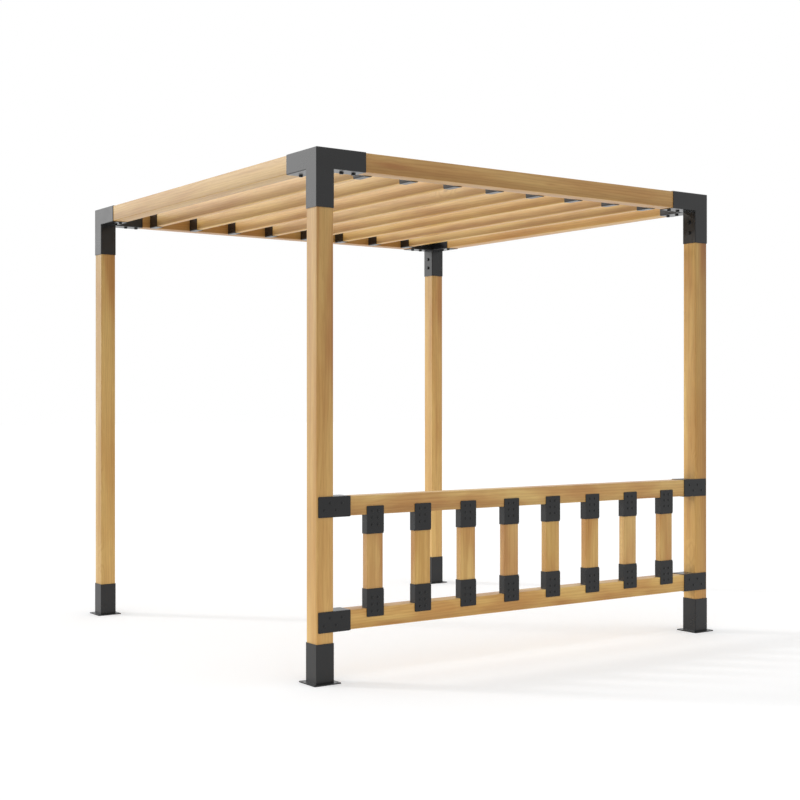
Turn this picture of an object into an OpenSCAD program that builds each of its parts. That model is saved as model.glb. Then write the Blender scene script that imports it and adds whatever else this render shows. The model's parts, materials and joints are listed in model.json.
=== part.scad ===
// Square timber pergola with a railing on its front side.
// Four posts stand in steel bases, three-way steel corners join them to four beams, and
// rafters hang between the front and back beams.
// Millimetres, +Z up. The origin is on the ground, in the middle of the four posts.
// The railing side is -Y.

/* [Frame] */
// Width over the outer faces of the posts
frame_w = 2563; // [2200:1:3600]
// Depth over the outer faces of the posts
frame_d = 2563; // [1500:1:3600]
// Length of each post
post_len = 2438; // [2000:1:3000]

/* [Timber] */
// Side of the square posts, beams and rails
post_w = 89; // [75:1:110]
// Thickness of a rafter
rafter_t = 38; // [28:1:50]
// Height of a rafter
rafter_h = 89; // [70:1:140]
// Number of rafters
rafter_n = 8; // [3:1:10]
// Radius of the eased long edges of the timber
ease_r = 3; // [1:0.5:6]

/* [Railing] */
// Underside of the bottom rail above the ground
low_rail_z = 237; // [210:1:380]
// Underside of the top rail above the ground
top_rail_z = 762; // [680:1:1200]
// Width of a baluster along the rails
baluster_w = 89; // [60:1:120]
// Thickness of a baluster
baluster_t = 38; // [28:1:50]
// Number of balusters
baluster_n = 8; // [3:1:12]

/* [Steel] */
// Thickness of the folded plate
steel_t = 3; // [2:0.5:5]
// Outside radius of the folds
bend_r = 4.5; // [0.5:0.5:6]
// Gap between a sleeve and the timber inside it
sleeve_gap = 0.3; // [0.1:0.1:0.8]

/* [Corner brackets] */
// Length of a horizontal sleeve past the post
arm_len = 178; // [140:1:210]
// Length of the upright sleeve below the beams
leg_len = 181; // [140:1:260]
// Diameter of the bolt holes, under the arms and on the inner side of the leg
bolt_hole_d = 10; // [6:0.5:12]
// Distance of the outer bolt from the open end of an arm
arm_bolt_end = 30; // [20:1:40]
// Spacing of the two bolts under an arm
arm_bolt_pitch = 67; // [40:1:75]
// Offset of the arm's bolts from its middle, towards the inside of the frame
arm_bolt_in = 14; // [0:1:20]
// Distance of the lower bolt from the open end of the leg
leg_bolt_end = 58; // [30:1:62]
// Spacing of the two bolts on the leg
leg_bolt_pitch = 60; // [40:1:62]

/* [Post bases] */
// Thickness of the base plate
base_t = 5; // [4:0.5:10]
// Height of the base sleeve above its plate
base_sleeve_h = 179; // [100:1:190]
// Reach of the base plate past the sleeve
base_flange = 23.5; // [20:0.5:40]
// Distance of the anchor holes from the edges of the plate
base_hole_edge = 13.3; // [12:0.1:15]
// Diameter of the anchor holes
base_hole_d = 11; // [8:0.5:13]
// Radius of the corners of the base plate
base_corner_r = 4; // [1:0.5:10]

/* [Rail brackets] */
// Length of the sleeve on the rail
rail_sleeve_len = 92; // [60:1:120]
// Reach of the front plate onto the post
rail_tongue_len = 82; // [60:1:86]

/* [Baluster brackets] */
// Length of the sleeve on the baluster
baluster_sleeve_len = 90; // [60:1:110]
// Reach of the front plate onto the rail
baluster_tongue_len = 40; // [25:1:60]

/* [Screws] */
// Diameter of the screw holes in the rail and baluster brackets
screw_hole_d = 6; // [4:0.5:8]
// Grid of the screw holes, centred on the line where two timbers meet
screw_pitch = 32; // [24:1:36]

/* [Rafter hangers] */
// Length of the side plates along the rafter
hanger_len = 95; // [60:1:130]
// Height of the side plates above the underside of the rafter
hanger_h = 80; // [60:1:88]

/* [Hidden] */
timber_colour = [0.80, 0.62, 0.38];
slat_colour = [0.83, 0.66, 0.42];
steel_colour = [0.20, 0.20, 0.21];
$fn = 48;

// Outer face of a sleeve, measured from the face of the timber inside it
skin = steel_t + sleeve_gap;
// Outer side of a sleeve on the square timber
sleeve_w = post_w + 2 * skin;
// Clear span between the posts, across and front to back
span_x = frame_w - 2 * post_w;
span_y = frame_d - 2 * post_w;
// Heights of the top and the underside of the beams
top_z = base_t + post_len;
beam_z = top_z - post_w;
// Left front corner of the frame
left_x = -frame_w / 2;
front_y = -frame_d / 2;
// Top of the bottom rail, and the room that the balusters fill
low_top_z = low_rail_z + post_w;
baluster_len = top_rail_z - low_top_z;
// Side of a base plate and the offset of its holes from the post's axis
base_w = sleeve_w + 2 * base_flange;
base_hole_x = base_w / 2 - base_hole_edge;
// Spacing of the rafters and balusters, with equal gaps from post to post
rafter_pitch = (span_x + rafter_t) / (rafter_n + 1);
baluster_pitch = (span_x + baluster_w) / (baluster_n + 1);
// Length of a rafter between the back plates of its hangers
rafter_len = span_y - 2 * skin;
// Screws along a rail bracket, one low and the next high
rail_screw_n = 4;
// Rows of two screws on a baluster bracket, the first of them on the rail
baluster_screw_rows = 3;
// Overshoot of a cut past the face that it opens
cut = 1;

// Name of each corner with its side in X and in Y
CORNERS = [["front_left", -1, -1], ["front_right", 1, -1], ["back_left", -1, 1], ["back_right", 1, 1]];
// Name of each rail with the height of its underside
RAILS = [["bottom_rail", low_rail_z], ["top_rail", top_rail_z]];
// Name of each end of a rail with its side in X
ENDS = [["left", -1], ["right", 1]];

// Left faces of the numbered rafter and baluster
function rafter_x(i) = left_x + post_w + i * rafter_pitch - rafter_t;
function baluster_x(i) = left_x + post_w + i * baluster_pitch - baluster_w;
// Place of a rail bracket's screw along the rail, from the line where rail and post meet
function rail_screw_x(i) = (i - (rail_screw_n - 1) / 2) * screw_pitch;
// Below the middle for the even screws of a row and above it for the odd ones
function up_or_down(i) = i % 2 == 0 ? -1 : 1;

// Rectangle with rounded corners, from its lower left corner
module eased_rect(a, b, r) {
    translate([r, 0])
        square([a - 2 * r, b]);
    translate([0, r])
        square([a, b - 2 * r]);
    for (x = [r, a - r], y = [r, b - r])
        translate([x, y])
            circle(r);
}

// Turns a piece drawn upright so that its Z runs along X, with its X and Y along Y and Z
module along_x() {
    rotate([90, 0, 90])
        children();
}

// Turns a piece drawn upright so that its Z runs along Y, with its X and Y along Z and X
module along_y() {
    rotate([0, -90, -90])
        children();
}

// Sawn length of timber with eased long edges
module timber(a, b, len) {
    linear_extrude(len)
        eased_rect(a, b, ease_r);
}

// Outside of a sleeve on a timber of a by b
module sleeve_outside(a, b, len) {
    linear_extrude(len)
        translate([-skin, -skin])
            eased_rect(a + 2 * skin, b + 2 * skin, bend_r);
}

// Room for a timber of a by b in its sleeve
module sleeve_room(a, b, len) {
    linear_extrude(len)
        translate([-sleeve_gap, -sleeve_gap])
            square([a + 2 * sleeve_gap, b + 2 * sleeve_gap]);
}

// Open sleeve on a timber of a by b
module sleeve(a, b, len) {
    difference() {
        sleeve_outside(a, b, len);
        translate([0, 0, -cut])
            sleeve_room(a, b, len + 2 * cut);
    }
}

// Front left corner turned into the numbered corner of the frame
module at_corner(c) {
    mirror([c[1] > 0 ? 1 : 0, 0, 0])
        mirror([0, c[2] > 0 ? 1 : 0, 0])
            translate([left_x, front_y, 0])
                children();
}

module post(c) {
    color(timber_colour)
        at_corner(c)
            translate([0, 0, base_t])
                timber(post_w, post_w, post_len);
}

// Beam from post to post, flush with their outer faces and with their tops
module cross_beam(side) {
    color(timber_colour)
        mirror([0, side > 0 ? 1 : 0, 0])
            translate([left_x + post_w, front_y, beam_z])
                along_x()
                    timber(post_w, post_w, span_x);
}

module side_beam(side) {
    color(timber_colour)
        mirror([side > 0 ? 1 : 0, 0, 0])
            translate([left_x, front_y + post_w, beam_z])
                along_y()
                    timber(post_w, post_w, span_y);
}

// Rafter on edge between the front and back beams
module rafter(i) {
    color(slat_colour)
        translate([rafter_x(i), -rafter_len / 2, beam_z])
            along_y()
                timber(rafter_h, rafter_t, rafter_len);
}

// Outside of the three-way corner: a block with rounded edges and a sleeve out of three of its faces
module corner_outside() {
    reach = post_w + arm_len;
    inset = bend_r - skin;
    intersection() {
        translate([0, 0, -skin])
            sleeve_outside(post_w, post_w, sleeve_w);
        translate([-skin, 0, 0])
            along_x()
                sleeve_outside(post_w, post_w, sleeve_w);
        translate([0, -skin, 0])
            along_y()
                sleeve_outside(post_w, post_w, sleeve_w);
    }
    translate([0, 0, -leg_len])
        sleeve_outside(post_w, post_w, leg_len + post_w - inset);
    translate([inset, 0, 0])
        along_x()
            sleeve_outside(post_w, post_w, reach - inset);
    translate([0, inset, 0])
        along_y()
            sleeve_outside(post_w, post_w, reach - inset);
}

// Pair of bolt holes down through the plate under an arm that runs along X
module arm_bolt_holes() {
    outer = post_w + arm_len - arm_bolt_end;
    for (k = [0, 1])
        translate([outer - k * arm_bolt_pitch, post_w / 2 + arm_bolt_in, -skin - cut])
            cylinder(d = bolt_hole_d, h = steel_t + 2 * cut);
}

// Pair of bolt holes through the inner side of the leg
module leg_bolt_holes() {
    for (k = [0, 1])
        translate([post_w + sleeve_gap - cut, post_w / 2, leg_bolt_end + k * leg_bolt_pitch - leg_len])
            rotate([0, 90, 0])
                cylinder(d = bolt_hole_d, h = steel_t + 2 * cut);
}

// Corner bracket: closed on top and on its two outer sides, open where the timber goes in
module corner_bracket(c) {
    reach = post_w + arm_len;
    color(steel_colour)
        at_corner(c)
            translate([0, 0, beam_z])
                difference() {
                    corner_outside();
                    translate([0, 0, -leg_len - cut])
                        sleeve_room(post_w, post_w, leg_len + cut + post_w + sleeve_gap);
                    along_x()
                        sleeve_room(post_w, post_w, reach + cut);
                    along_y()
                        sleeve_room(post_w, post_w, reach + cut);
                    arm_bolt_holes();
                    mirror([1, -1, 0])
                        arm_bolt_holes();
                    leg_bolt_holes();
                }
}

// Post base: a drilled plate with a sleeve on it
module base(c) {
    color(steel_colour)
        at_corner(c) {
            translate([post_w / 2, post_w / 2, 0])
                linear_extrude(base_t)
                    difference() {
                        translate([-base_w / 2, -base_w / 2])
                            eased_rect(base_w, base_w, base_corner_r);
                        for (x = [-1, 1], y = [-1, 1])
                            translate([x, y] * base_hole_x)
                                circle(d = base_hole_d);
                    }
            translate([0, 0, base_t])
                sleeve(post_w, post_w, base_sleeve_h);
        }
}

// Rail between the front posts, flush with their front faces
module rail(z) {
    color(timber_colour)
        translate([left_x + post_w, front_y, z])
            along_x()
                timber(post_w, post_w, span_x);
}

// Flat plate of w by h lying on the front face of a timber, from its lower left corner
module front_plate(w, h) {
    translate([0, -sleeve_gap, 0])
        rotate([90, 0, 0])
            linear_extrude(steel_t)
                eased_rect(w, h, bend_r);
}

// Screw hole through a front plate, at x and z on the plate
module screw_hole(x, z) {
    translate([x, cut - sleeve_gap, z])
        rotate([90, 0, 0])
            cylinder(d = screw_hole_d, h = steel_t + 2 * cut);
}

// Rail bracket: a sleeve on the end of the rail with its front plate carried onto the post
module rail_bracket(z, side) {
    color(steel_colour)
        mirror([side > 0 ? 1 : 0, 0, 0])
            translate([left_x + post_w, front_y, z])
                difference() {
                    union() {
                        along_x()
                            sleeve(post_w, post_w, rail_sleeve_len);
                        translate([-rail_tongue_len, 0, -skin])
                            front_plate(rail_tongue_len + rail_sleeve_len - bend_r, sleeve_w);
                    }
                    for (i = [0 : rail_screw_n - 1])
                        screw_hole(rail_screw_x(i), (post_w + up_or_down(i) * screw_pitch) / 2);
                }
}

// Upright baluster between the rails, flush with their front faces
module baluster(i) {
    color(slat_colour)
        translate([baluster_x(i), front_y, low_top_z])
            timber(baluster_w, baluster_t, baluster_len);
}

// Baluster bracket on the bottom rail: a sleeve with its front plate carried down the rail
module baluster_bracket() {
    difference() {
        union() {
            sleeve(baluster_w, baluster_t, baluster_sleeve_len);
            translate([-skin, 0, -baluster_tongue_len])
                front_plate(baluster_w + 2 * skin, baluster_tongue_len + baluster_sleeve_len - bend_r);
        }
        for (side = [-1, 1], row = [0 : baluster_screw_rows - 1])
            screw_hole((baluster_w + side * screw_pitch) / 2, (row - 1 / 2) * screw_pitch);
    }
}

module lower_baluster_brackets() {
    color(steel_colour)
        for (i = [1 : baluster_n])
            translate([baluster_x(i), front_y, low_top_z])
                baluster_bracket();
}

module upper_baluster_brackets() {
    color(steel_colour)
        for (i = [1 : baluster_n])
            translate([baluster_x(i), front_y, top_rail_z])
                mirror([0, 0, 1])
                    baluster_bracket();
}

// Rafter hanger: a folded seat and two side plates on a back plate that lies on the beam
module rafter_hanger() {
    difference() {
        along_y()
            linear_extrude(hanger_len)
                difference() {
                    translate([-skin, -skin])
                        eased_rect(hanger_h + skin + bend_r, rafter_t + 2 * skin, bend_r);
                    translate([hanger_h, -skin - cut])
                        square([bend_r + cut, rafter_t + 2 * (skin + cut)]);
                }
        translate([-sleeve_gap, steel_t, -sleeve_gap])
            cube([rafter_t + 2 * sleeve_gap, hanger_len, hanger_h + sleeve_gap + cut]);
    }
}

module rafter_hangers(side) {
    color(steel_colour)
        mirror([0, side > 0 ? 1 : 0, 0])
            for (i = [1 : rafter_n])
                translate([rafter_x(i), front_y + post_w, beam_z])
                    rafter_hanger();
}

for (c = CORNERS) {
    post(c);
    base(c);
    corner_bracket(c);
}
cross_beam(-1);  // front_beam
cross_beam(1);  // back_beam
side_beam(-1);  // left_beam
side_beam(1);  // right_beam
for (i = [1 : rafter_n])
    rafter(i);
rafter_hangers(-1);  // front_rafter_hangers
rafter_hangers(1);  // back_rafter_hangers
for (r = RAILS) {
    rail(r[1]);
    for (e = ENDS)
        rail_bracket(r[1], e[1]);
}
for (i = [1 : baluster_n])
    baluster(i);
upper_baluster_brackets();
lower_baluster_brackets();
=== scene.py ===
# %% [markdown]
# # A timber pergola with black steel corners
#
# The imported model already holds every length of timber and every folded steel
# sleeve, each as its own object with its place in its mesh. This lesson gives
# those objects their finishes, adds the bolts and screws, and sets up the studio.
# We could model the frame again here, but then it could drift away from the
# solids, so we load it and leave its shapes alone.

import json
import math

import bmesh
import bpy
from mathutils import Matrix, Vector

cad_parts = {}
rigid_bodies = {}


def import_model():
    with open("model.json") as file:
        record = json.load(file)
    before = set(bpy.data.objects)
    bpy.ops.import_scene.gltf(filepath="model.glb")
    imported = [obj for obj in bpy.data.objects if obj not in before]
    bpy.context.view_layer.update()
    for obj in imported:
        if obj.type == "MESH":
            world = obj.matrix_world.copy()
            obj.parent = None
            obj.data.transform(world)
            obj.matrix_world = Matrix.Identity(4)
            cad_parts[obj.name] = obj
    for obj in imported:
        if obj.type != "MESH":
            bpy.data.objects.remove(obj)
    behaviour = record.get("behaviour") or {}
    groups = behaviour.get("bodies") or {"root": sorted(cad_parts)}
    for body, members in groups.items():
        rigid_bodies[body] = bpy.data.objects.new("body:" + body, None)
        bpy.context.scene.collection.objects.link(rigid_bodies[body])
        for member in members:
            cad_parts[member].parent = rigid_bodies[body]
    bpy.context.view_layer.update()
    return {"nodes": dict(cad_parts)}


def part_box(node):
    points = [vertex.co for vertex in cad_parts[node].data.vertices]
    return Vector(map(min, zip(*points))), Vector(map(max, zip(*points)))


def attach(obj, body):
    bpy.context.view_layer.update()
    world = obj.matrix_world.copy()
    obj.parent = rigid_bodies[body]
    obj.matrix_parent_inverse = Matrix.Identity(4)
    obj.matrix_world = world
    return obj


for leftover in list(bpy.data.objects):
    bpy.data.objects.remove(leftover)
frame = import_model()

# %% [markdown]
# ## The camera
#
# The picture was taken from about chest height, off the left front corner, with the
# camera level, so that the posts stay upright in the frame. A short telephoto view
# keeps the far posts nearly as wide as the near one.

# %% Camera
EYE = Vector((-4.5166, -6.5507, 1.2948))
TURN = math.radians(-35.05)
SENSOR_WIDTH, FOCAL_LENGTH = 36.0, 61.26

lens = bpy.data.cameras.new("camera")
lens.sensor_width = SENSOR_WIDTH
lens.lens = FOCAL_LENGTH
camera = bpy.data.objects.new("camera", lens)
camera.location = EYE
camera.rotation_euler = (math.radians(90.0), 0.0, TURN)
bpy.context.scene.collection.objects.link(camera)
bpy.context.scene.camera = camera
bpy.context.scene.view_settings.view_transform = "Standard"
print("camera", round(EYE.xy.length, 2), "m from the middle of the frame")

# %% [markdown]
# ## Building a material from nodes
#
# Every finish below is a small graph of shader nodes. One helper keeps the graphs
# readable: values fill a node's sockets in order, `named` fills them by name or by
# number, and the remaining words are the node's own options.


# %% Helpers for node graphs
def node(tree, kind, *values, named=None, **options):
    made = tree.nodes.new("ShaderNode" + kind)
    for key, value in options.items():
        setattr(made, key, value)
    sockets = list(zip(made.inputs, values))
    sockets += [(made.inputs[key], value) for key, value in (named or {}).items()]
    for socket, value in sockets:
        if isinstance(value, bpy.types.NodeSocket):
            tree.links.new(value, socket)
        else:
            socket.default_value = value
    return made


def new_finish(name):
    finish = bpy.data.materials.new(name)
    finish.use_nodes = True
    finish.node_tree.nodes.clear()
    return finish, finish.node_tree


# %% [markdown]
# ## The studio
#
# The object stands on a white sweep, lit by the whole room and by one soft light,
# low and behind it on the left. A white floor could be had by lighting it until it
# clips, but that would wash out the timber too. So the room and the floor glow
# white to the camera and to reflections. To the timber, the sweep is a white sheet a
# few metres across on a dark floor, and near the middle it also glows faintly, as
# added bounce light: it lights the undersides and the feet of the posts more than
# their tops.


# %% Rays that see the backdrop
def backdrop_rays(tree):
    rays = node(tree, "LightPath").outputs
    direct = node(tree, "Math", rays["Is Camera Ray"], rays["Is Glossy Ray"], operation="MAXIMUM")
    through = rays["Is Transmission Ray"]
    return node(tree, "Math", direct.outputs[0], through, operation="MAXIMUM").outputs[0]


# %% Room light
WHITE = (1.0, 1.0, 1.0)
ROOM_TINT = (0.98, 0.99, 1.0)
ROOM_LIGHT = 0.95

room = bpy.data.worlds.new("room")
room.use_nodes = True
tree = room.node_tree
tree.nodes.clear()
seen = node(tree, "Background", (*WHITE, 1.0), 1.0)
felt = node(tree, "Background", (*ROOM_TINT, 1.0), ROOM_LIGHT)
either = node(tree, "MixShader", backdrop_rays(tree), felt.outputs[0], seen.outputs[0])
node(tree, "OutputWorld", either.outputs[0])
bpy.context.scene.world = room
print("room light", ROOM_LIGHT)

# %% Floor
FLOOR_SIZE = 120.0
FLOOR_DROP = 0.0005

bm = bmesh.new()
bmesh.ops.create_grid(bm, x_segments=1, y_segments=1, size=FLOOR_SIZE / 2)
bmesh.ops.translate(bm, verts=bm.verts, vec=(0, 0, -FLOOR_DROP))
mesh = bpy.data.meshes.new("floor")
bm.to_mesh(mesh)
bm.free()
floor = bpy.data.objects.new("floor", mesh)
bpy.context.scene.collection.objects.link(floor)
print("floor", FLOOR_SIZE, "m across")

# %% White sweep on the floor
SWEEP_EDGE = (2.6, 4.6)
SWEEP_WHITE, SWEEP_DARK = 0.9, 0.1
SWEEP_BOUNCE = 0.20
FLOOR_GLOW = 0.14
VALUE_A, VALUE_B = 2, 3  # the plain number sockets of a Mix node


def product(tree, first, second):
    return node(tree, "Math", first, second, operation="MULTIPLY").outputs[0]


def fades_outward(tree, inner, outer):
    place = node(tree, "TexCoord").outputs["Object"]
    away = node(tree, "VectorMath", place, operation="LENGTH").outputs["Value"]
    faded = node(tree, "MapRange", away, *SWEEP_EDGE, inner, outer, interpolation_type="SMOOTHSTEP")
    return faded.outputs[0]


floor_white, tree = new_finish("floor_white")
rays = backdrop_rays(tree)
sheet = fades_outward(tree, SWEEP_WHITE, SWEEP_DARK)
plain = product(tree, rays, SWEEP_WHITE)
white = node(tree, "Math", sheet, plain, operation="MAXIMUM").outputs[0]
paint = node(tree, "BsdfDiffuse", white)
# the sweep glows faintly to the timber near the middle: an emitted bounce light
bounce = fades_outward(tree, SWEEP_BOUNCE, 0.0)
share = node(tree, "Mix", rays, named={VALUE_A: bounce, VALUE_B: FLOOR_GLOW}).outputs[0]
glow = node(tree, "Emission", (*WHITE, 1.0), share)
sweep = node(tree, "AddShader", paint.outputs[0], glow.outputs[0])
node(tree, "OutputMaterial", sweep.outputs[0])
floor.data.materials.append(floor_white)
print("sweep fades out between", *SWEEP_EDGE, "m")

# %% Low soft key from the left
KEY_FROM = Vector((-0.644, 0.672, 0.358))
KEY_LIGHT = 0.86
KEY_SPREAD = math.radians(7.0)

key = bpy.data.lights.new("soft_key", "SUN")
key.energy = KEY_LIGHT
key.angle = KEY_SPREAD
holder = bpy.data.objects.new("soft_key", key)
holder.rotation_euler = KEY_FROM.to_track_quat("Z", "Y").to_euler()
bpy.context.scene.collection.objects.link(holder)
print("key light", round(math.degrees(math.asin(KEY_FROM.normalized().z))), "degrees up")

# %% [markdown]
# Black steel is mostly seen by what it mirrors, so a studio sets up a large white
# panel where the shiny faces look. Ours stands behind the frame on the left. It is
# kept out of the diffuse light, so that it adds a sheen and leaves the colours alone.

# %% White panel for the sheen
PANEL_WHITE = 1.8
PANEL_SIZE = (9.0, 11.0)
PANEL_AT = Vector((-8.5, 9.8, 5.9))
PANEL_AIM = Vector((0.0, 0.0, 1.5))

panel = bpy.data.lights.new("sheen_panel", "AREA")
panel.shape = "RECTANGLE"
panel.size, panel.size_y = PANEL_SIZE
panel.energy = PANEL_WHITE * math.pi * PANEL_SIZE[0] * PANEL_SIZE[1]
holder = bpy.data.objects.new("sheen_panel", panel)
holder.location = PANEL_AT
holder.rotation_euler = (PANEL_AT - PANEL_AIM).to_track_quat("Z", "Y").to_euler()
holder.visible_camera = False
holder.visible_diffuse = False
bpy.context.scene.collection.objects.link(holder)
print("panel", PANEL_SIZE, "m,", PANEL_WHITE, "times white")

# %% [markdown]
# ## The timber
#
# Posts, beams, rails, rafters and balusters are planed softwood with a honey stain.
# Sawn timber shows its growth rings as long lines that wander with the tree, close
# together on one face and in broad flames on the next. A flat picture wrapped on
# each face would break at the edges, so the rings are a solid pattern: cylinders
# about a pith line that lies in or near the piece, and the faces simply cut through
# them. So the first thing is a set of coordinates whose Z runs along the grain.

# %% Coordinates along the grain
LAY = {
    "x": (0.0, math.radians(-90.0), 0.0),
    "y": (math.radians(90.0), 0.0, 0.0),
    "z": (0.0, 0.0, 0.0),
}
NOISE_SPAN = (0.3, 0.7)  # nearly all values of a noise lie in here


def along_grain(tree, along, pith):
    place = node(tree, "TexCoord").outputs["Object"]
    moved = node(tree, "Mapping", place, tuple(-pith)).outputs[0]
    return node(tree, "Mapping", moved, named={"Rotation": LAY[along]}).outputs[0]


def squeezed(tree, grain, across, length):
    return node(tree, "Mapping", grain, named={"Scale": (across, across, length)}).outputs[0]


def noise(tree, grain, across, length, detail):
    vector = squeezed(tree, grain, across, length)
    return node(tree, "TexNoise", named={"Vector": vector, "Scale": 1.0, "Detail": detail}).outputs


# %% [markdown]
# A knot is the foot of a branch: the grain swells round it, and its middle is dark.
# Knots could be set by hand, one by one. Here space is cut into cells along the
# grain, and only a few of the cells, drawn by their own colour, keep their knot.

# %% Knots
KNOT_CELLS = (7.0, 3.4)  # cells in a metre, across and along
KNOT_SCATTER = 0.9
KNOT_DRAW = 0.86
KNOT_SWELL = (0.04, 0.42)
KNOT_CORE = (0.03, 0.12)
KNOT_DARK = 0.6


def knots(tree, grain):
    cells = squeezed(tree, grain, *KNOT_CELLS)
    spots = node(
        tree, "TexVoronoi", named={"Vector": cells, "Scale": 1.0, "Randomness": KNOT_SCATTER}
    ).outputs
    away = spots["Distance"]
    draw = node(tree, "SeparateColor", spots["Color"]).outputs[0]
    kept = node(tree, "Math", draw, KNOT_DRAW, operation="GREATER_THAN").outputs[0]
    swell = node(tree, "MapRange", away, *KNOT_SWELL, 1.0, 0.0, interpolation_type="SMOOTHERSTEP")
    core = node(tree, "MapRange", away, *KNOT_CORE, KNOT_DARK, 0.0, interpolation_type="SMOOTHSTEP")
    return product(tree, swell.outputs[0], kept), product(tree, core.outputs[0], kept)


# %% [markdown]
# The rings themselves are a wave texture in its ring form. A saw profile gives the
# slow change from early to late wood and the sharp end of each year. Two layers of
# noise bend the coordinates, one slowly along the length and one finely, and a knot
# pushes the rings outwards. At scale 1 the wave repeats every pi / 10 units.

# %% Growth rings
RING = 0.013  # metres from ring to ring
SWAY, RIPPLE = (0.10, 0.10, 0.0), (0.03, 0.03, 0.0)
KNOT_PUSH = 14.0


def growth_rings(tree, grain, swell):
    slow = noise(tree, grain, across=2.2, length=0.42, detail=2.0)["Color"]
    quick = noise(tree, grain, across=30.0, length=2.2, detail=3.0)["Color"]
    bent = node(tree, "VectorMath", slow, SWAY, grain, operation="MULTIPLY_ADD").outputs[0]
    bent = node(tree, "VectorMath", quick, RIPPLE, bent, operation="MULTIPLY_ADD").outputs[0]
    rings = node(
        tree,
        "TexWave",
        named={
            "Vector": bent,
            "Scale": math.pi / 10 / RING,
            "Distortion": 0.0,
            "Phase Offset": product(tree, swell, KNOT_PUSH),
        },
        wave_type="RINGS",
        rings_direction="Z",
        wave_profile="SAW",
    )
    return rings.outputs["Fac"]


# %% Colour stops of a ramp
def ramp(tree, factor, *stops):
    made = node(tree, "ValToRGB", factor)
    band = made.color_ramp
    while len(band.elements) < len(stops):
        band.elements.new(0.5)
    for element, (at, colour) in zip(band.elements, stops):
        element.position = at
        element.color = (*colour, 1.0)
    return made.outputs["Color"]


# %% [markdown]
# A planed face is never quite flat: it dries a little crowned, so that the sheen
# slides across it instead of filling it evenly. Rounding the mesh would change the
# solid, so only the shading normal is leaned outwards, by ten degrees at the edges.

# %% Crowned faces
CROWN = 0.18


def offset_from(tree, point):
    place = node(tree, "TexCoord").outputs["Object"]
    return node(tree, "VectorMath", place, tuple(point), operation="SUBTRACT").outputs[0]


def crowned(tree, low, high, along):
    half = (high - low) / 2
    bend = tuple(0.0 if axis == along else CROWN / size for axis, size in zip("xyz", half))
    offset = offset_from(tree, (low + high) / 2)
    facing = node(tree, "NewGeometry").outputs["Normal"]
    leaned = node(tree, "VectorMath", offset, bend, facing, operation="MULTIPLY_ADD").outputs[0]
    return node(tree, "VectorMath", leaned, operation="NORMALIZE").outputs[0]


# %% [markdown]
# The sides of a level timber are painted paler towards the upper edge, as painted
# light and sheen, and darker on their lower part, as painted shade. This is a ramp
# over the height of the piece, made uneven by the grain. Its lowest stop is the
# underside, painted a brighter clear yellow as painted bounce light from the floor.
# Every stop multiplies the colour of the wood, and the share table says how much of
# it shows: all of it on the rafters, less on the beams and the rails.

# %% Painted light and shade over the height
# painted bounce light on the underside (first stop), painted shade low on the sides, painted light
# and sheen high on them
HEIGHT_LIGHT_AND_SHADE = (
    (0.00, (1.22, 1.20, 0.84)),
    (0.05, (0.72, 0.65, 0.53)),
    (0.16, (0.74, 0.67, 0.56)),
    (0.50, (1.10, 1.11, 1.12)),
    (0.80, (1.18, 1.22, 1.28)),
)
WAVER = (0.85, 1.15)
HEIGHT_LIGHT_SHARE = {"rafter": 1.0, "beam": 0.5, "rail": 0.4}


def painted_height_light(tree, low, high, uneven):
    place = node(tree, "TexCoord").outputs["Object"]
    height = node(tree, "SeparateXYZ", place).outputs["Z"]
    level = node(tree, "MapRange", height, low.z, high.z, 0.0, 1.0).outputs[0]
    waver = node(tree, "MapRange", uneven, *NOISE_SPAN, *WAVER).outputs[0]
    return ramp(tree, product(tree, level, waver), *HEIGHT_LIGHT_AND_SHADE)


# %% [markdown]
# A post is painted paler on the side towards the back left, where the key light
# comes from, and darker and redder towards the front right, in shade: painted light
# and shade. That is a ramp across the section, from the front right edge to the back
# left one. The share table gives how much of it each post shows.

# %% Painted light and shade across a post
# paler towards the back left and darker towards the front right: painted light and shade
SIDE_LIGHT_AND_SHADE = (
    (0.0, (0.70, 0.61, 0.55)),
    (0.5, WHITE),
    (1.0, (1.34, 1.44, 1.46)),
)
SIDE_LIGHT_SHARE = {
    "front_left_post": 0.12,
    "front_right_post": 0.85,
    "back_left_post": 0.15,
    "back_right_post": 0.25,
}


def painted_side_light(tree, low, high):
    half = (high - low) / 2
    offset = offset_from(tree, (low + high) / 2)
    slope = (-0.25 / half.x, 0.25 / half.y, 0.0)  # half of the ramp on either side
    across = node(tree, "VectorMath", offset, slope, operation="DOT_PRODUCT").outputs["Value"]
    level = node(tree, "Math", across, 0.5, operation="ADD").outputs[0]
    return ramp(tree, level, *SIDE_LIGHT_AND_SHADE)


# %% [markdown]
# Here and there the heart of the tree comes to the surface as a reddish streak, and
# one thin streak darkens the front left edge of a post. A painted mask would need a
# picture. A soft ellipsoid, with its centre and its size in metres, does the same on
# any face that it meets, and the noise of the grain makes its edge ragged.

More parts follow.
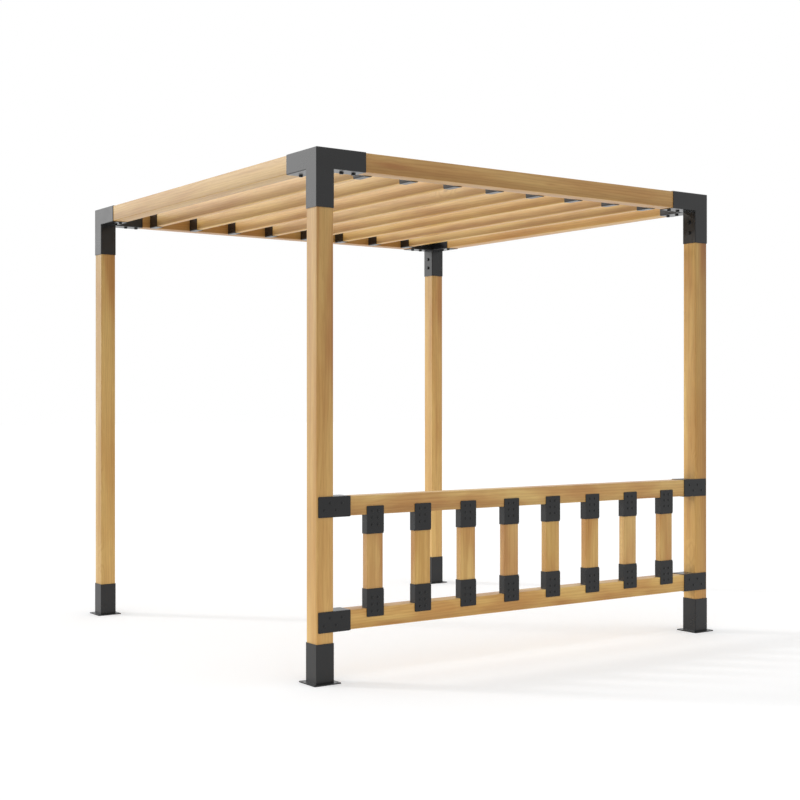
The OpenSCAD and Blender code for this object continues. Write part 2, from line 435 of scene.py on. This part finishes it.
# %% Heart streaks
HEART = (0.82, 0.66, 0.57)
STREAKS = {
    "front_beam": [
        ((-0.87, -1.28, 2.398), (0.24, 0.08, 0.040)),
        ((0.12, -1.28, 2.398), (0.14, 0.06, 0.022)),
    ],
    "front_left_post": [
        ((-1.19, -1.28, 1.62), (0.09, 0.09, 0.85)),
        # a thin dark line down the front left edge of the post
        ((-1.274, -1.28, 2.05), (0.015, 0.024, 0.85)),
    ],
    "front_right_post": [((1.25, -1.26, 2.15), (0.14, 0.14, 0.90))],
    "back_left_post": [((-1.22, 1.19, 2.05), (0.13, 0.12, 0.75))],
    "back_right_post": [((1.27, 1.19, 1.95), (0.08, 0.08, 0.90))],
    "bottom_rail": [
        ((-0.85, -1.28, 0.245), (0.25, 0.08, 0.045)),
        ((0.20, -1.28, 0.250), (0.25, 0.08, 0.055)),
    ],
    "top_rail": [
        ((-0.12, -1.28, 0.772), (0.25, 0.08, 0.050)),
        ((0.80, -1.28, 0.768), (0.34, 0.08, 0.050)),
    ],
}


def heart_streak(tree, centre, size, uneven):
    offset = offset_from(tree, centre)
    scaled = node(tree, "VectorMath", offset, size, operation="DIVIDE").outputs[0]
    reach = node(tree, "VectorMath", scaled, operation="LENGTH").outputs["Value"]
    ragged = node(tree, "Math", reach, uneven, operation="ADD").outputs[0]
    return ramp(tree, ragged, (0.5, HEART), (1.0, WHITE))


# %% [markdown]
# The timber of the railing has taken the stain unevenly, in warm blotches. Another
# noise with a ramp makes them, and `BLUSH` is their share on each kind of piece.

# %% Warm blotches
BLOTCHES = ((0.38, (0.86, 0.72, 0.62)), (0.60, (1.10, 1.18, 1.22)))
BLUSH = {"rail": 0.7, "baluster": 0.4}


def blotched(tree, grain):
    spread = noise(tree, grain, across=10.0, length=3.4, detail=2.0)["Fac"]
    return ramp(tree, spread, *BLOTCHES)


# %% [markdown]
# Now the layers come together. The rings give the base colour, three layers of noise
# multiply it with long streaks, soft patches and fine fibres, and the marks and the
# painted light and shade above follow where a piece has them. Then each piece is
# shifted to its own tone, and the knots are set in last, so that they stay dark.
# Fibres and rings also lift the surface a little, and late wood is duller than early
# wood.

# %% Marks and painted light and shade of one timber
COLOUR_A, COLOUR_B, COLOUR_OUT = 6, 7, 2  # the colour sockets of a Mix node


def share_of(table, name):
    return next((share for word, share in table.items() if word in name), 0.0)


def marks_and_painted_light(tree, name, grain, uneven, low, high):
    found = []
    height_light, side_light, blush = (share_of(table, name) for table in (HEIGHT_LIGHT_SHARE, SIDE_LIGHT_SHARE, BLUSH))
    # painted light and shade over the height of level timbers
    if height_light:
        found.append((painted_height_light(tree, low, high, uneven), height_light))
    # painted light and shade across the posts
    if side_light:
        found.append((painted_side_light(tree, low, high), side_light))
    if blush:
        found.append((blotched(tree, grain), blush))
    for centre, size in STREAKS.get(name, []):
        found.append((heart_streak(tree, centre, size, uneven), 1.0))
    return found


def mixed(tree, share, wood, shade, way):
    sockets = {COLOUR_A: wood, COLOUR_B: shade}
    made = node(tree, "Mix", share, named=sockets, data_type="RGBA", blend_type=way)
    return made.outputs[COLOUR_OUT]


# %% Stained softwood
EARLY = (0.63, 0.385, 0.118)
LATE = (0.570, 0.330, 0.095)
KNOT = (0.27, 0.120, 0.036)
YEAR = ((0.0, EARLY), (0.35, EARLY), (0.82, LATE), (1.0, EARLY))
STREAKY = ((0.32, (0.90, 0.85, 0.78)), (0.68, (1.07, 1.08, 1.10)))
PATCHY = ((0.36, (0.93, 0.83, 0.73)), (0.64, (1.06, 1.08, 1.10)))
FIBROUS = ((0.3, (0.90, 0.88, 0.85)), (0.7, (1.06, 1.06, 1.06)))
WOOD_ROUGH = (0.36, 0.44)
WOOD_RELIEF = {"Strength": 0.25, "Distance": 0.0006}


def stained_timber(name, along, pith, tone, low, high):
    finish, tree = new_finish("stained_" + name)
    grain = along_grain(tree, along, pith)
    swell, core = knots(tree, grain)
    rings = growth_rings(tree, grain, swell)
    streaks = noise(tree, grain, across=26.0, length=0.5, detail=3.0)["Fac"]
    patches = noise(tree, grain, across=14.0, length=1.8, detail=2.0)["Fac"]
    fibres = noise(tree, grain, across=700.0, length=14.0, detail=2.0)["Fac"]

    wood = ramp(tree, rings, *YEAR)
    layers = ((streaks, STREAKY), (patches, PATCHY), (fibres, FIBROUS))
    shades = [(ramp(tree, layer, *stops), 1.0) for layer, stops in layers]
    shades += marks_and_painted_light(tree, name, grain, patches, low, high)
    for shade, share in shades:
        wood = mixed(tree, share, wood, shade, "MULTIPLY")
    wood = node(tree, "HueSaturation", *tone, 1.0, wood).outputs[0]
    wood = mixed(tree, core, wood, (*KNOT, 1.0), "MIX")

    rough = node(tree, "MapRange", rings, 0.0, 1.0, *WOOD_ROUGH).outputs[0]
    height = node(tree, "Math", fibres, rings, operation="ADD").outputs[0]
    relief = {"Height": height, "Normal": crowned(tree, low, high, along), **WOOD_RELIEF}
    bump = node(tree, "Bump", named=relief).outputs[0]
    skin = node(
        tree, "BsdfPrincipled", named={"Base Color": wood, "Roughness": rough, "Normal": bump}
    )
    node(tree, "OutputMaterial", skin.outputs[0])
    return finish


# %% [markdown]
# Every length of timber is cut from another part of the tree. A fixed sequence of
# numbers moves the pith a little further each time and shifts the tone by a few per
# cent, so that neighbours differ as real boards do and the result is the same on
# every run. `TONES` gives the hue, the strength and the value that a piece or a row
# of pieces starts from, where it isn't the plain stain.

# %% Grain, pith and tone of each piece
GRAIN = {
    "post": "z",
    "baluster": "z",
    "front_beam": "x",
    "back_beam": "x",
    "rail": "x",
    "left_beam": "y",
    "right_beam": "y",
    "rafter": "y",
}
STEEL_WORDS = ("bracket", "hanger", "base")
PITH_TURN, PITH_RISE = 2.4, 1.7
PITH_NEAR, PITH_STEP, PITH_STEPS = 0.035, 0.02, 4
PLAIN_TONE = (0.5, 1.0, 1.0)
TONES = {
    "front_beam": (0.498, 1.02, 0.86),
    # the back beam's low value is painted shade for its inner face under the roof
    "back_beam": (0.490, 1.04, 0.78),
    "left_beam": (0.502, 0.97, 0.96),
    "rafters": (0.503, 0.98, 1.02),
    "back_left_post": (0.506, 0.94, 0.99),
    # the front right post's lower value is painted shade
    "front_right_post": (0.502, 0.98, 0.97),
    "back_right_post": (0.503, 1.00, 1.00),
    "bottom_rail": (0.501, 0.98, 0.91),
    "top_rail": (0.500, 0.98, 0.90),
    "balusters": (0.499, 1.00, 0.88),
}
TONE_SWINGS = ((0.002, 3.1), (0.03, 1.9), (0.03, 4.3))  # size and pace of each


def grain_of(name):
    if any(word in name for word in STEEL_WORDS):
        return None
    return next(way for word, way in GRAIN.items() if word in name)


def pith_of(number, low, high):
    angle = PITH_TURN * number
    reach = PITH_NEAR + PITH_STEP * (number % PITH_STEPS)
    way = Vector((math.cos(angle), math.sin(angle), math.cos(PITH_RISE * angle)))
    return (low + high) / 2 + reach * way


def tone_of(number, name):
    row = name[:-2] + "s"  # rafter_3 starts from the tone of rafters
    start = TONES.get(name) or TONES.get(row, PLAIN_TONE)
    return [t + size * math.sin(pace * number) for t, (size, pace) in zip(start, TONE_SWINGS)]


# %% Give every timber its finish
timbers = sorted(name for name in frame["nodes"] if grain_of(name))
for number, name in enumerate(timbers):
    low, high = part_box(name)
    pith, tone = pith_of(number, low, high), tone_of(number, name)
    timber = frame["nodes"][name]
    timber.data.materials.clear()
    timber.data.materials.append(stained_timber(name, grain_of(name), pith, tone, low, high))
print("finished", len(timbers), "timbers")

# %% [markdown]
# ## The black steel
#
# The sleeves are folded plate under a satin black powder coat. Powder melts into a
# skin with a very fine orange-peel texture, which blurs the room into a soft sheen
# on the faces that look towards the light. The coat itself is almost black: the
# grey that we see is nearly all reflection. The small brackets of the railing
# mirror a little less than the corners and the bases.

# %% Powder coat
COAT = ((0.3, (0.0040, 0.0041, 0.0044)), (0.7, (0.0070, 0.0071, 0.0075)))
COAT_CLOUDS, COAT_PEEL = 9.0, 420.0
COAT_UNEVEN = 0.04
COAT_RELIEF = {"Strength": 0.2, "Distance": 0.0003}


def powder_coat(name, rough, mirror):
    finish, tree = new_finish(name)
    place = node(tree, "TexCoord").outputs["Object"]
    peel = node(tree, "TexNoise", named={"Vector": place, "Scale": COAT_PEEL, "Detail": 2.0})
    clouds = node(tree, "TexNoise", named={"Vector": place, "Scale": COAT_CLOUDS, "Detail": 3.0})
    cloudy = clouds.outputs["Fac"]
    black = ramp(tree, cloudy, *COAT)
    spread = (rough - COAT_UNEVEN, rough + COAT_UNEVEN)
    sheen = node(tree, "MapRange", cloudy, *NOISE_SPAN, *spread).outputs[0]
    bump = node(tree, "Bump", named={"Height": peel.outputs["Fac"], **COAT_RELIEF}).outputs[0]
    skin = node(
        tree,
        "BsdfPrincipled",
        named={
            "Base Color": black,
            "Roughness": sheen,
            "Normal": bump,
            "Specular IOR Level": mirror,
        },
    )
    node(tree, "OutputMaterial", skin.outputs[0])
    return finish


# %% Coat the steel
frame_coat = powder_coat("black_powder_coat", rough=0.29, mirror=0.46)
railing_coat = powder_coat("railing_powder_coat", rough=0.29, mirror=0.38)
steel = [name for name in frame["nodes"] if not grain_of(name)]
for name in steel:
    plate = frame["nodes"][name]
    plate.data.materials.clear()
    on_railing = "rail" in name or "baluster" in name
    plate.data.materials.append(railing_coat if on_railing else frame_coat)
print("coated", len(steel), "steel pieces")

# %% [markdown]
# ## Bolts and screws
#
# Two hexagon bolts with washers hold each arm of a corner from below, and two more
# hold its leg from the inner side. Round-headed screws hold the rail and baluster
# brackets. Each fastener is turned once, standing on its surface with its axis up,
# and copies of it are set on the plates. A head is a short prism whose top rim is
# bevelled; the recess of a screw is an inset face pushed down.

# %% Short prism with a softened upper rim
SLACK = 1e-6


def turned(bm, sides, radius, low, high, soften, steps):
    bmesh.ops.create_cone(
        bm,
        cap_ends=True,
        cap_tris=False,
        segments=sides,
        radius1=radius,
        radius2=radius,
        depth=high - low,
        matrix=Matrix.Translation((0, 0, (low + high) / 2)),
    )
    rim = [edge for edge in bm.edges if all(v.co.z > high - SLACK for v in edge.verts)]
    bmesh.ops.bevel(
        bm,
        geom=rim,
        offset=soften,
        offset_type="OFFSET",
        segments=steps,
        profile=0.5,
        affect="EDGES",
        material=-1,
    )
    return max(bm.faces, key=lambda face: face.calc_center_median().z)


def pattern_mesh(name, bm):
    bmesh.ops.recalc_face_normals(bm, faces=bm.faces)
    mesh = bpy.data.meshes.new(name)
    bm.to_mesh(mesh)
    bm.free()
    print(name, len(mesh.polygons), "faces")
    return mesh


# %% Hexagon bolt with its washer
BOLT_SHANK = dict(sides=24, radius=0.0048, low=-0.0045, high=0.0005, soften=0.0003, steps=1)
WASHER = dict(sides=32, radius=0.0110, low=0.0, high=0.0020, soften=0.0006, steps=2)
HEXAGON = dict(sides=6, radius=0.0098, low=0.0019, high=0.0088, soften=0.0011, steps=2)

bm = bmesh.new()
for shape in (BOLT_SHANK, WASHER, HEXAGON):
    turned(bm, **shape)
hex_bolt = pattern_mesh("hex_bolt", bm)

# %% Round-headed screw with a star recess
SCREW_SHANK = dict(sides=12, radius=0.0028, low=-0.0045, high=0.0005, soften=0.0003, steps=1)
SCREW_HEAD = dict(sides=12, radius=0.0062, low=0.0, high=0.0034, soften=0.0024, steps=4)
RECESS_RIM, RECESS_DEPTH = 0.0020, 0.0008
STAR_WAIST = 0.72

bm = bmesh.new()
turned(bm, **SCREW_SHANK)
crown = turned(bm, **SCREW_HEAD)
bmesh.ops.inset_region(bm, faces=[crown], thickness=RECESS_RIM, use_even_offset=True)
for point in list(crown.verts)[::2]:
    point.co.xy *= STAR_WAIST
pushed = bmesh.ops.extrude_discrete_faces(bm, faces=[crown])["faces"][0]
bmesh.ops.translate(bm, verts=pushed.verts, vec=(0, 0, -RECESS_DEPTH))
round_screw = pattern_mesh("round_screw", bm)

# %% Set copies of a fastener on a plate
FACING = {
    "-x": Matrix.Rotation(math.radians(-90), 4, "Y"),
    "+x": Matrix.Rotation(math.radians(90), 4, "Y"),
    "-y": Matrix.Rotation(math.radians(90), 4, "X"),
    "-z": Matrix.Rotation(math.radians(180), 4, "X"),
}
SPIN_STEP = 0.7
fastener_black = powder_coat("fastener_black", rough=0.30, mirror=0.42)


def set_fasteners(name, pattern, places):
    bm = bmesh.new()
    for number, (point, facing) in enumerate(places):
        spin = Matrix.Rotation(SPIN_STEP * number, 4, "Z")
        copy = pattern.copy()
        copy.transform(Matrix.Translation(point) @ FACING[facing] @ spin)
        bm.from_mesh(copy)
        bpy.data.meshes.remove(copy)
    mesh = bpy.data.meshes.new(name)
    bm.to_mesh(mesh)
    bm.free()
    piece = bpy.data.objects.new(name, mesh)
    bpy.context.scene.collection.objects.link(piece)
    mesh.materials.append(fastener_black)
    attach(piece, "root")
    print(name, len(places), "set")


# %% [markdown]
# The bolts under an arm sit a little towards the inside of the frame, and those of
# the leg on its middle line. Their places are measured from the bracket itself: its
# box gives the closed end, the open ends and the outside of the plate.

# %% Corner bolts
POST = 0.089
PLATE = 0.0033  # the steel with its gap to the timber
ARM_BOLT_END, ARM_BOLT_PITCH, ARM_BOLT_IN = 0.030, 0.067, 0.014
LEG_BOLT_END, LEG_BOLT_PITCH = 0.058, 0.060

for corner in ("front_left", "front_right", "back_left", "back_right"):
    low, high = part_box(corner + "_corner_bracket")
    x_way = 1 if "left" in corner else -1
    y_way = 1 if "front" in corner else -1
    outer_x, tip_x = (low.x, high.x) if x_way > 0 else (high.x, low.x)
    outer_y, tip_y = (low.y, high.y) if y_way > 0 else (high.y, low.y)
    half = PLATE + POST / 2
    aside = half + ARM_BOLT_IN
    under = high.z - POST - 2 * PLATE
    inner_x = outer_x + x_way * (POST + 2 * PLATE)
    places = []
    for step in range(2):
        inward = ARM_BOLT_END + step * ARM_BOLT_PITCH
        places.append(((tip_x - x_way * inward, outer_y + y_way * aside, under), "-z"))
        places.append(((outer_x + x_way * aside, tip_y - y_way * inward, under), "-z"))
        rise = LEG_BOLT_END + step * LEG_BOLT_PITCH
        leg_place = (inner_x, outer_y + y_way * half, low.z + rise)
        places.append((leg_place, "+x" if x_way > 0 else "-x"))
    set_fasteners(corner + "_bolts", hex_bolt, places)

# %% [markdown]
# The screws follow a 32 mm grid that is centred on the line where two timbers meet:
# four in a zigzag on a rail bracket, and three rows of two on a baluster bracket.

# %% Rail screws
GRID = 0.032

for rail in ("bottom_rail", "top_rail"):
    low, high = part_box(rail)
    front = low.y - PLATE
    middle = (low.z + high.z) / 2
    for end, joint, way in (("left", low.x, 1), ("right", high.x, -1)):
        places = []
        for count in range(4):
            up = GRID / 2 if count % 2 else -GRID / 2
            places.append(((joint + way * (count - 1.5) * GRID, front, middle + up), "-y"))
        set_fasteners(rail + "_" + end + "_screws", round_screw, places)

# %% Baluster screws
BALUSTERS = 8

bottom_places, top_places = [], []
for number in range(1, BALUSTERS + 1):
    low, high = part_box("baluster_%d" % number)
    middle, front = (low.x + high.x) / 2, low.y - PLATE
    for side in (-GRID / 2, GRID / 2):
        for row in range(3):
            rise = (row - 0.5) * GRID
            bottom_places.append(((middle + side, front, low.z + rise), "-y"))
            top_places.append(((middle + side, front, high.z - rise), "-y"))
set_fasteners("lower_baluster_screws", round_screw, bottom_places)
set_fasteners("upper_baluster_screws", round_screw, top_places)
